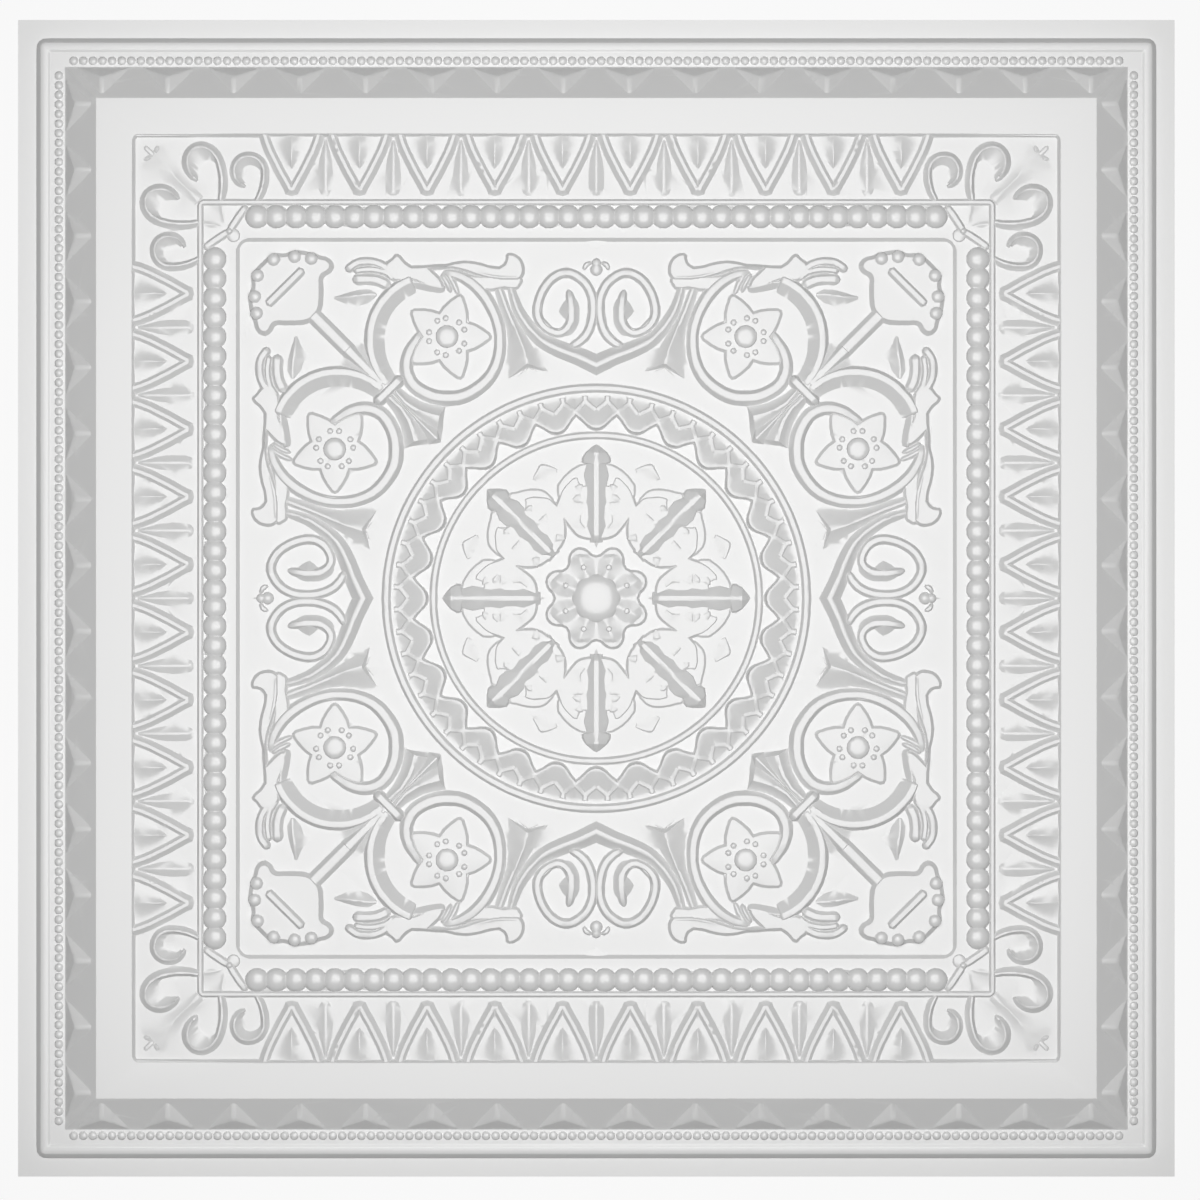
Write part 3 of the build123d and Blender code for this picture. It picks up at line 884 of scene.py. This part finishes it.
@dataclass
class Medallion:
    """The round medallion: two rings, scales with darts, spears, leaves, rosette and dome."""

    scale_step: float = 360 / 28
    slope_foot: float = 104.2
    rim_rise: float = 3.4
    rim_fall: float = 0.15
    ring_rise: float = 2.0
    dome_radius: float = 12.7
    dome_rise: float = 4.6

    def ring(self, dies: DieSet, middle: float, half: float) -> None:
        """Adds one flat-topped ring round the centre.

        Args:
            dies: The set to add to.
            middle: The radius of its crest.
            half: Half its width.
        """
        base = LEVEL.field
        section = [(middle + half * a, base + self.ring_rise * h) for a, h in reversed(Section.FLAT.value)]
        dies.turned((0, 0), section, 0, 90, Symmetry.ONCE)

    def scale(self, dies: DieSet, axis: float) -> None:
        """Adds one scale: a wall on its inner side, a level rim and a slope out to the ring.

        Args:
            dies: The set to add it to.
            axis: The angle of its tip, in degrees.
        """
        base = LEVEL.field
        side = [(0.0, 86.9), (1.0, 87.1), (2.1, 87.8), (3.3, 89.4), (4.7, 92.0), (5.6, 93.4), (6.43, 94.6)]
        edge = [(-angle, radius) for angle, radius in reversed(side[1:])] + side
        rows = [[], [], [], []]
        for angle, radius in edge:
            rim = base + self.rim_rise - self.rim_fall * (radius - side[0][1])
            line = ((self.slope_foot, base), (radius + 3.2, rim), (radius + 1.5, rim),
                    (radius - 0.2, base - 0.2))
            for row, (r, z) in zip(rows, line):
                row.append((*around((0, 0), r, axis + angle), z))
        dies.fold(rows, Symmetry.ONCE)

    def fork(self, dies: DieSet, axis: float, tip: int) -> None:
        """Adds one forked ridge on the slope of the scales: a bar from the ring that parts in two.

        Args:
            dies: The set to add it to.
            axis: The angle of the bar, in degrees.
            tip: On which side the tip of the scale lies: 1 for the greater angle, -1 for the smaller.
        """
        base = LEVEL.field
        quarter = self.scale_step / 4
        bar = [around((0, 0), r, axis) for r in (105.4, 103.4, 101.4)]
        dies.rope(bar, 1.8, 1.05, base, None, Symmetry.ONCE, Section.FLAT, 0.3)
        for side, climb in ((tip, 0.95), (-tip, 1.4)):
            arm = [around((0, 0), r, axis + side * share * quarter) for r, share in
                   ((102.4, 0.0), (100.6, 0.3), (99.0, 0.65), (97.4, 1.0))]
            dies.rope(arm, 1.8, 0.95, base + 0.1, None, Symmetry.ONCE, Section.FLAT, 0.3, climb)

    def border(self, dies: DieSet) -> None:
        """Adds the rings, the scales between them and the forked ridges on the scales.

        Args:
            dies: The set to add to.
        """
        self.ring(dies, 109.1, 2.5)
        self.ring(dies, 84.6, 2.15)
        for i in range(8):
            axis = 90 - i * self.scale_step
            self.scale(dies, axis)
            for side in (-1, 1):
                self.fork(dies, axis + side * self.scale_step / 4, -side)

    def spear(self, dies: DieSet, axis: float, shape: list[Point], symmetry: Symmetry) -> None:
        """Adds one spear along a radius, with a flat ridge and scalloped sloping sides.

        Args:
            dies: The set to add it to.
            axis: The angle it lies along, in degrees.
            shape: Its half width at each radius.
            symmetry: How it repeats.
        """
        base = LEVEL.field
        along, across = around((0, 0), 1, axis), around((0, 0), 1, axis - 90)
        section = ((-1.0, -0.2), (-0.84, 1.8), (-0.16, 4.0), (0.16, 4.0), (0.84, 1.8), (1.0, -0.2))
        rows = []
        for share, rise in section:
            row = []
            for radius, half in shape:
                reach = share * half if abs(share) > 0.5 else math.copysign(min(1.2, 0.3 * half), share)
                fade = min(1.0, (shape[-1][0] - radius) / 3.2, 0.4 + (radius - shape[0][0]) / 5)
                x = along[0] * radius + across[0] * reach
                y = along[1] * radius + across[1] * reach
                row.append((x, y, base + rise * fade))
            rows.append(row)
        dies.fold(rows, symmetry)

    def leaves(self, dies: DieSet) -> None:
        """Adds the leaves between the spears, as low plates under a higher one, with their strokes.

        Args:
            dies: The set to add to.
        """
        base = LEVEL.field
        near = [(3.0, 69.6), (7.0, 70.0), (11.0, 68.3), (16.0, 64.5), (19.0, 60.8), (20.4, 58.5),
                (18.0, 50.0), (4.0, 50.0)]
        far = [(22.0, 50.0), (24.4, 54.0), (27.0, 56.0), (31.0, 57.0), (37.0, 56.5), (41.0, 55.5),
               (45.4, 53.8), (40.0, 42.0)]
        for outline in (near, far):
            dies.plate(outline, 1.2, base, 1.1)
        upper = [(2.0, 59.0), (7.4, 59.4), (8.7, 61.6), (9.2, 63.0), (11.0, 63.4), (15.0, 60.5),
                 (18.5, 56.0), (20.0, 52.0), (20.9, 49.6), (24.0, 52.3), (30.0, 53.3), (35.0, 53.0),
                 (37.8, 51.4), (37.5, 49.6), (38.0, 42.0), (25.6, 25.6), (25.0, 19.0), (22.0, 21.5),
                 (19.0, 25.0), (16.5, 29.0), (15.3, 34.0), (15.5, 38.2), (13.0, 35.0), (10.0, 32.0),
                 (5.0, 30.3), (0.0, 30.5)]
        dies.plate(upper, 2.0, base, 1.3, (8, 21, 25))
        strokes = [[(7.0, 58.5), (9.0, 58.3), (11.0, 57.6)], [(8.0, 53.6), (10.2, 52.8), (12.2, 51.2)],
                   [(6.8, 49.5), (9.4, 49.4), (12.2, 49.7)], [(5.8, 36.0), (8.8, 39.4), (8.0, 43.4)],
                   [(33.3, 48.0), (35.0, 47.3), (36.5, 45.9)], [(25.8, 43.8), (27.6, 41.6), (29.9, 40.2)],
                   [(20.6, 33.4), (20.5, 31.6), (21.2, 29.6)]]
        for path in strokes:
            dies.rope(path, (1.1, 4.4), 0.6, base + 1.95, [0.3, 1, 0.3], section=Section.GABLE, ends=0)
        chevron = [(20.4, 66.7), (24.6, 68.1), (28.4, 68.7), (30.2, 66.2), (32.8, 62.0)]
        dies.rope(chevron, (1.1, 7.5), 1.0, base, [0.3, 0.85, 1, 0.85, 0.3], section=Section.GABLE, ends=0)

    def rosette(self, dies: DieSet) -> None:
        """Adds the rosette of eight petals and the dome.

        Args:
            dies: The set to add to.
        """
        base = LEVEL.field
        edge = [(-22.5, 22.4), (-17.5, 23.1), (-13.3, 25.1), (-9.5, 26.7), (-4.7, 27.8), (0, 28.2),
                (4.7, 27.8), (9.5, 26.7), (13.3, 25.1), (17.5, 23.1)]
        outline = [around((0, 0), r, 22.5 + 45 * i + a) for i in range(8) for a, r in edge]
        dies.plate(outline, 2.6, base, 1.3, tuple(range(0, 80, 10)), Symmetry.ONCE)
        shape = ((11.0, 4.4), (15.0, 5.6), (19.0, 6.4), (22.5, 5.4), (25.0, 2.0))
        for axis in (22.5, 67.5):
            along, across = around((0, 0), 1, axis), around((0, 0), 1, axis - 90)
            rows = []
            for share, rise in ((-1, 2.5), (-0.12, 3.8), (0.12, 3.8), (1, 2.5)):
                rows.append([(along[0] * r + across[0] * share * w, along[1] * r + across[1] * share * w,
                              base + (rise if r < 24 else 2.5)) for r, w in shape])
            dies.fold(rows, Symmetry.ONCE)
            dies.bead(around((0, 0), 17.2, axis), 1.5, 0.9, base + 3.6, Symmetry.ONCE, 12, 3.0)
        dies.bead((0, 0), self.dome_radius, self.dome_rise, base + 0.9, Symmetry.ONCE, 64, 3.0)

    def build(self, dies: DieSet) -> None:
        """Adds the dies of one quarter of the medallion.

        Args:
            dies: The set to add them to.
        """
        self.border(dies)
        self.leaves(dies)
        upright = [(29.0, 3.4), (31.0, 3.5), (33.0, 4.0), (38.0, 6.2), (42.0, 5.3), (47.0, 5.5),
                   (50.0, 6.7), (55.0, 5.8), (60.0, 6.3), (64.0, 7.3), (69.6, 5.5), (70.6, 7.8),
                   (72.5, 7.8), (75.5, 6.0), (78.0, 3.0), (80.0, 0.3)]
        slanted = [(31.0, 2.6), (33.9, 2.8), (35.9, 5.2), (40.7, 6.7), (44.9, 5.3), (48.8, 6.4),
                   (51.0, 7.2), (56.2, 6.0), (59.8, 7.4), (64.3, 7.8), (69.0, 5.4), (70.4, 6.7),
                   (72.8, 7.0), (75.7, 4.9), (79.0, 1.3), (80.0, 0.3)]
        self.spear(dies, 90, upright, Symmetry.DIAGONAL)
        self.spear(dies, 45, slanted, Symmetry.ONCE)
        self.rosette(dies)


@dataclass
class PressedSheet:
    """The sheet that is drawn down over the dies, thinned, walled, backed and mirrored to the whole tile."""

    cell: float = 0.38
    reach: float = 299.0
    cut: float = 287.0
    level_strip: float = 0.9
    corner_lines: tuple[float, ...] = (282.0, 283.67, 285.33)
    wall: tuple[Point, ...] = (
        (cut, 5.1), (288.0, 5.1), (289.0, 5.0), (289.7, 4.4), (LINE.wall_foot, 0.0), (LINE.edge, 0.0)
    )
    thickness: float = 0.78
    crease: float = math.radians(24)
    band_softness: int = 3
    band_margins: Point = (1.5, 0.5)
    face_triangles: int = 40000
    back_triangles: int = 5600
    weld: float = 0.05
    catch: float = 0.3

    def apply(self, sheet: bpy.types.Object, name: str, kind: str, **settings: object) -> None:
        """Puts one modifier with its settings on the sheet and applies it.

        Args:
            sheet: The sheet.
            name: What the modifier does.
            kind: Blender's name for its kind.
            settings: Its settings.
        """
        use_only(sheet)
        modifier = sheet.modifiers.new(name, kind)
        for key, value in settings.items():
            setattr(modifier, key, value)
        bpy.ops.object.modifier_apply(modifier=modifier.name)

    def draw(self, die: bpy.types.Object) -> bpy.types.Object:
        """Draws a fine grid down onto the dies of the quarter and softens the sloping band.

        Args:
            die: All the dies of the quarter, as one mesh.

        Returns:
            The drawn face of the quarter.
        """
        start_clean()
        cells = round(self.reach / self.cell)
        middle = (self.reach / 2, self.reach / 2, 4 * LEVEL.frame)
        bpy.ops.mesh.primitive_grid_add(x_subdivisions=cells, y_subdivisions=cells, size=self.reach,
                                        location=middle)
        bpy.ops.object.transform_apply(location=True, rotation=True, scale=True)
        sheet = bpy.context.object
        self.apply(sheet, "drawn_down", "SHRINKWRAP", target=die, wrap_method="PROJECT", use_project_z=True,
                   use_negative_direction=True, use_positive_direction=False)
        band = sheet.vertex_groups.new(name="band")
        inner = LINE.band_top + self.band_margins[0]
        outer = LINE.band_foot - self.band_margins[1]
        places = sheet.data.vertices
        band.add([v.index for v in places if inner < max(v.co.x, v.co.y) < outer], 1.0, "REPLACE")
        self.apply(sheet, "band_radii", "SMOOTH", factor=0.5, iterations=self.band_softness, use_x=False,
                   use_y=False, vertex_group="band")
        return sheet

    def deselect(self, sheet: bpy.types.Object, kind: str) -> None:
        """Goes to edit mode with nothing of the sheet selected.

        Args:
            sheet: The sheet.
            kind: What is selected from here on: VERT, EDGE or FACE.
        """
        use_only(sheet)
        bpy.ops.object.mode_set(mode="EDIT")
        bpy.ops.mesh.select_mode(type=kind)
        bpy.ops.mesh.select_all(action="DESELECT")

    def thin(self, sheet: bpy.types.Object, triangles: int) -> None:
        """Thins a quarter, sets its inner borders straight and clears the slivers there.

        Args:
            sheet: The quarter.
            triangles: How many triangles are left.
        """
        count = sum(len(face.vertices) - 2 for face in sheet.data.polygons)
        self.apply(sheet, "thinned", "DECIMATE", ratio=triangles / count)
        self.deselect(sheet, "EDGE")
        bpy.ops.mesh.select_non_manifold(extend=False, use_wire=False, use_boundary=True,
                                         use_multi_face=False, use_non_contiguous=False, use_verts=False)
        bpy.ops.object.mode_set(mode="OBJECT")
        for vertex in sheet.data.vertices:
            for axis in (0, 1):
                if vertex.select and vertex.co[axis] < self.catch:
                    vertex.co[axis] = 0.0
        self.deselect(sheet, "FACE")
        bpy.ops.object.mode_set(mode="OBJECT")
        for face in sheet.data.polygons:
            places = [sheet.data.vertices[i].co for i in face.vertices]
            face.select = any(all(place[axis] == 0.0 for place in places) for axis in (0, 1))
        bpy.ops.object.mode_set(mode="EDIT")
        bpy.ops.mesh.delete(type="FACE")
        bpy.ops.object.mode_set(mode="OBJECT")

    def trim(self, sheet: bpy.types.Object) -> None:
        """Cuts a quarter along the flat top of the outer wall, levels it there and adds lines at the corner.

        Args:
            sheet: The quarter.
        """
        use_only(sheet)
        bpy.ops.object.mode_set(mode="EDIT")
        for side in ((1, 0, 0), (0, 1, 0)):
            bpy.ops.mesh.select_all(action="SELECT")
            plane = [self.cut * part for part in side]
            bpy.ops.mesh.bisect(plane_co=plane, plane_no=side, clear_outer=True)
            for line in self.corner_lines:
                bpy.ops.mesh.select_all(action="SELECT")
                bpy.ops.mesh.bisect(plane_co=[line * part for part in side], plane_no=side)
        bpy.ops.object.mode_set(mode="OBJECT")
        for vertex in sheet.data.vertices:
            if max(vertex.co.x, vertex.co.y) > self.cut - self.level_strip:
                vertex.co.z = LEVEL.flange + self.wall[0][1]

    def select_border(self, sheet: bpy.types.Object, border: float) -> None:
        """Selects the edges that lie on the two outer borders of the quarter and goes to edit mode.

        Args:
            sheet: The quarter.
            border: How far out the borders lie.
        """
        self.deselect(sheet, "EDGE")
        bpy.ops.object.mode_set(mode="OBJECT")
        places = sheet.data.vertices
        for edge in sheet.data.edges:
            a, b = (places[i].co for i in edge.vertices)
            edge.select = any(min(a[axis], b[axis]) > border - self.weld for axis in (0, 1))
        bpy.ops.object.mode_set(mode="EDIT")

    def add_flange(self, sheet: bpy.types.Object) -> None:
        """Extrudes the outer borders down the outer wall and out to the edge, and rounds the wall's corner.

        Args:
            sheet: The trimmed quarter.
        """
        start = self.corner_lines[0]
        for (border, _), (reach, height) in zip(self.wall, self.wall[1:]):
            self.select_border(sheet, border)
            bpy.ops.mesh.extrude_edges_move()
            bpy.ops.object.mode_set(mode="OBJECT")
            for vertex in sheet.data.vertices:
                if not vertex.select:
                    continue
                vertex.co.z = LEVEL.flange + height
                for axis in (0, 1):
                    if vertex.co[axis] > start:
                        out = vertex.co[axis] - start
                        vertex.co[axis] = start + out * (reach - start) / (border - start)
        for vertex in sheet.data.vertices:
            half = max(vertex.co.x, vertex.co.y)
            if min(vertex.co.x, vertex.co.y) > self.cut + self.weld and half < LINE.wall_foot + self.weld:
                arm = Vector((vertex.co.x - self.cut, vertex.co.y - self.cut)).normalized()
                arm *= half - self.cut
                vertex.co.x = self.cut + arm.x
                vertex.co.y = self.cut + arm.y

    def add_back(self, sheet: bpy.types.Object, back: bpy.types.Object) -> None:
        """Joins the back to the face and closes the outer edge of the sheet between them.

        Args:
            sheet: The face of the quarter.
            back: A thinned copy of it.
        """
        use_only(back)
        bpy.ops.object.mode_set(mode="EDIT")
        bpy.ops.mesh.select_all(action="SELECT")
        bpy.ops.transform.translate(value=(0, 0, -self.thickness))
        bpy.ops.mesh.flip_normals()
        bpy.ops.object.mode_set(mode="OBJECT")
        use_only(sheet)
        back.select_set(True)
        bpy.ops.object.join()
        self.select_border(sheet, LINE.edge)
        bpy.ops.mesh.mark_sharp()
        bpy.ops.mesh.bridge_edge_loops()
        bpy.ops.object.mode_set(mode="OBJECT")

    def whole(self, sheet: bpy.types.Object) -> None:
        """Mirrors the quarter to the whole tile, brings it to metres and shades it smooth between creases.

        Args:
            sheet: The quarter with its back.
        """
        self.apply(sheet, "four_quarters", "MIRROR", use_axis=(True, True, False), use_clip=True,
                   merge_threshold=self.weld)
        bpy.ops.object.mode_set(mode="EDIT")
        bpy.ops.mesh.select_all(action="SELECT")
        bpy.ops.mesh.normals_make_consistent(inside=False)
        bpy.ops.object.mode_set(mode="OBJECT")
        sheet.scale = (METRES_PER_MM,) * 3
        bpy.ops.object.transform_apply(location=True, rotation=True, scale=True)
        bpy.ops.object.shade_smooth()
        self.deselect(sheet, "EDGE")
        bpy.ops.mesh.edges_select_sharp(sharpness=self.crease)
        bpy.ops.mesh.mark_sharp()
        bpy.ops.object.mode_set(mode="OBJECT")
        self.apply(sheet, "even_flats", "WEIGHTED_NORMAL", mode="FACE_AREA", weight=50, keep_sharp=True)

    def build(self, die: bpy.types.Object) -> bpy.types.Object:
        """Makes the whole sheet from the dies of one quarter.

        Args:
            die: All the dies of the quarter, as one mesh; it is cleared away afterwards.

        Returns:
            The finished tile.
        """
        sheet = self.draw(die)
        bpy.data.objects.remove(die)
        self.thin(sheet, self.face_triangles)
        use_only(sheet)
        bpy.ops.object.duplicate()
        back = bpy.context.object
        self.thin(back, self.back_triangles)
        for layer in (sheet, back):
            self.trim(layer)
            self.add_flange(layer)
        self.add_back(sheet, back)
        self.whole(sheet)
        sheet.name = "tile_sheet"
        return sheet


@dataclass(frozen=True)
class SatinPvc:
    """White rigid PVC with a satin skin."""

    colour: float = 0.79
    shade: float = 0.77
    roughness: float = 0.25
    sheen: float = 0.65
    warmth: float = 0.995
    cloud_scale: float = 9.0
    cloud_detail: float = 4.0

    def material(self) -> bpy.types.Material:
        """Builds the finish on object coordinates.

        Returns:
            The material.
        """
        finish = bpy.data.materials.new("satin_pvc")
        finish.use_nodes = True
        nodes, links = finish.node_tree.nodes, finish.node_tree.links
        shader = nodes["Principled BSDF"]
        where = nodes.new("ShaderNodeTexCoord")
        cloud = nodes.new("ShaderNodeTexNoise")
        cloud.inputs["Scale"].default_value = self.cloud_scale
        cloud.inputs["Detail"].default_value = self.cloud_detail
        tint = nodes.new("ShaderNodeMix")
        tint.data_type = "RGBA"
        tint.inputs[6].default_value = (self.colour, self.colour, self.colour * self.warmth, 1)
        tint.inputs[7].default_value = (self.shade, self.shade, self.shade * self.warmth, 1)
        links.new(where.outputs["Object"], cloud.inputs["Vector"])
        links.new(cloud.outputs["Fac"], tint.inputs[0])
        links.new(tint.outputs[2], shader.inputs["Base Color"])
        shader.inputs["Roughness"].default_value = self.roughness
        shader.inputs["Specular IOR Level"].default_value = self.sheen
        return finish


@dataclass
class Studio:
    """The pale floor, the soft light overhead and the camera that looks straight down."""

    floor_size: float = 6.0
    floor_colour: float = 0.95
    floor_roughness: float = 0.9
    floor_drop: float = 0.0002
    lamp_height: float = 1.6
    lamp_size: float = 1.12
    lamp_power: float = 22.6
    lamp_shift: float = 0.06
    ambient: float = 0.03
    glow: float = 0.8
    camera_height: float = 2.4
    sensor: float = 36.0
    far_clip: float = 50.0
    view_width: float = 0.6259
    aim: Point = (0.0019, -0.0009)

    def floor(self) -> None:
        """Lays the floor under the tile."""
        start_clean()
        bpy.ops.mesh.primitive_plane_add(size=self.floor_size, location=(0, 0, -self.floor_drop))
        floor = bpy.context.object
        floor.name = "floor"
        paint = bpy.data.materials.new("floor_paint")
        paint.use_nodes = True
        shader = paint.node_tree.nodes["Principled BSDF"]
        shader.inputs["Base Color"].default_value = (self.floor_colour,) * 3 + (1,)
        shader.inputs["Roughness"].default_value = self.floor_roughness
        shader.inputs["Specular IOR Level"].default_value = 0.0
        self.whiten(paint)
        floor.data.materials.append(paint)

    def whiten(self, paint: bpy.types.Material) -> None:
        """Mixes plain white into the floor where the camera or a mirror sees it, so that it reads as white.

        Args:
            paint: The floor's material.
        """
        nodes, links = paint.node_tree.nodes, paint.node_tree.links
        ray = nodes.new("ShaderNodeLightPath")
        white = nodes.new("ShaderNodeEmission")
        mixed = nodes.new("ShaderNodeMixShader")
        seen = ray.outputs["Is Camera Ray"]
        for other in ("Is Glossy Ray", "Is Transmission Ray"):
            either = nodes.new("ShaderNodeMath")
            either.operation = "MAXIMUM"
            links.new(seen, either.inputs[0])
            links.new(ray.outputs[other], either.inputs[1])
            seen = either.outputs[0]
        share = nodes.new("ShaderNodeMath")
        share.operation = "MULTIPLY"
        share.inputs[1].default_value = self.glow
        links.new(seen, share.inputs[0])
        links.new(share.outputs[0], mixed.inputs[0])
        links.new(nodes["Principled BSDF"].outputs[0], mixed.inputs[1])
        links.new(white.outputs[0], mixed.inputs[2])
        links.new(mixed.outputs[0], nodes["Material Output"].inputs["Surface"])

    def light(self) -> None:
        """Hangs the soft lamp over the tile and sets the level of the room."""
        start_clean()
        bpy.ops.object.light_add(type="AREA", location=(0, self.lamp_shift, self.lamp_height))
        lamp = bpy.context.object
        lamp.name = "softbox"
        lamp.data.shape = "SQUARE"
        lamp.data.size = self.lamp_size
        lamp.data.energy = self.lamp_power
        lamp.visible_camera = False
        room = bpy.data.worlds.new("room")
        bpy.context.scene.world = room
        room.use_nodes = True
        room.node_tree.nodes["Background"].inputs["Color"].default_value = (1, 1, 1, 1)
        room.node_tree.nodes["Background"].inputs["Strength"].default_value = self.ambient

    def camera(self) -> None:
        """Sets the camera straight over the tile."""
        start_clean()
        bpy.ops.object.camera_add(location=(*self.aim, self.camera_height), rotation=(0, 0, 0))
        camera = bpy.context.object
        camera.data.sensor_width = self.sensor
        camera.data.lens = self.sensor * self.camera_height / self.view_width
        camera.data.clip_end = self.far_clip
        bpy.context.scene.camera = camera

    def build(self) -> None:
        """Builds the studio and sets the plain view transform."""
        self.floor()
        self.light()
        self.camera()
        bpy.context.scene.view_settings.view_transform = "Standard"


def main() -> None:
    """Builds the tile and its studio in order and reports each piece."""
    logging.basicConfig(level=logging.INFO, format="%(message)s")
    dies = DieSet()
    parts = (StepFrame(), PyramidBand(), TongueBorder(), BeadCourse(), BorderCorner(), ScrollField(),
             DiagonalSpray(), Medallion())
    for part in parts:
        part.build(dies)
        LOG.info("%s modelled", type(part).__name__)
    sheet = PressedSheet().build(dies.joined())
    sheet.data.materials.clear()
    sheet.data.materials.append(SatinPvc().material())
    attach(sheet, "root")
    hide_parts("ceiling_tile")
    LOG.info("%s: %d triangles", sheet.name, sum(len(face.vertices) - 2 for face in sheet.data.polygons))
    Studio().build()
    LOG.info("studio built")


if __name__ == "__main__":
    main()
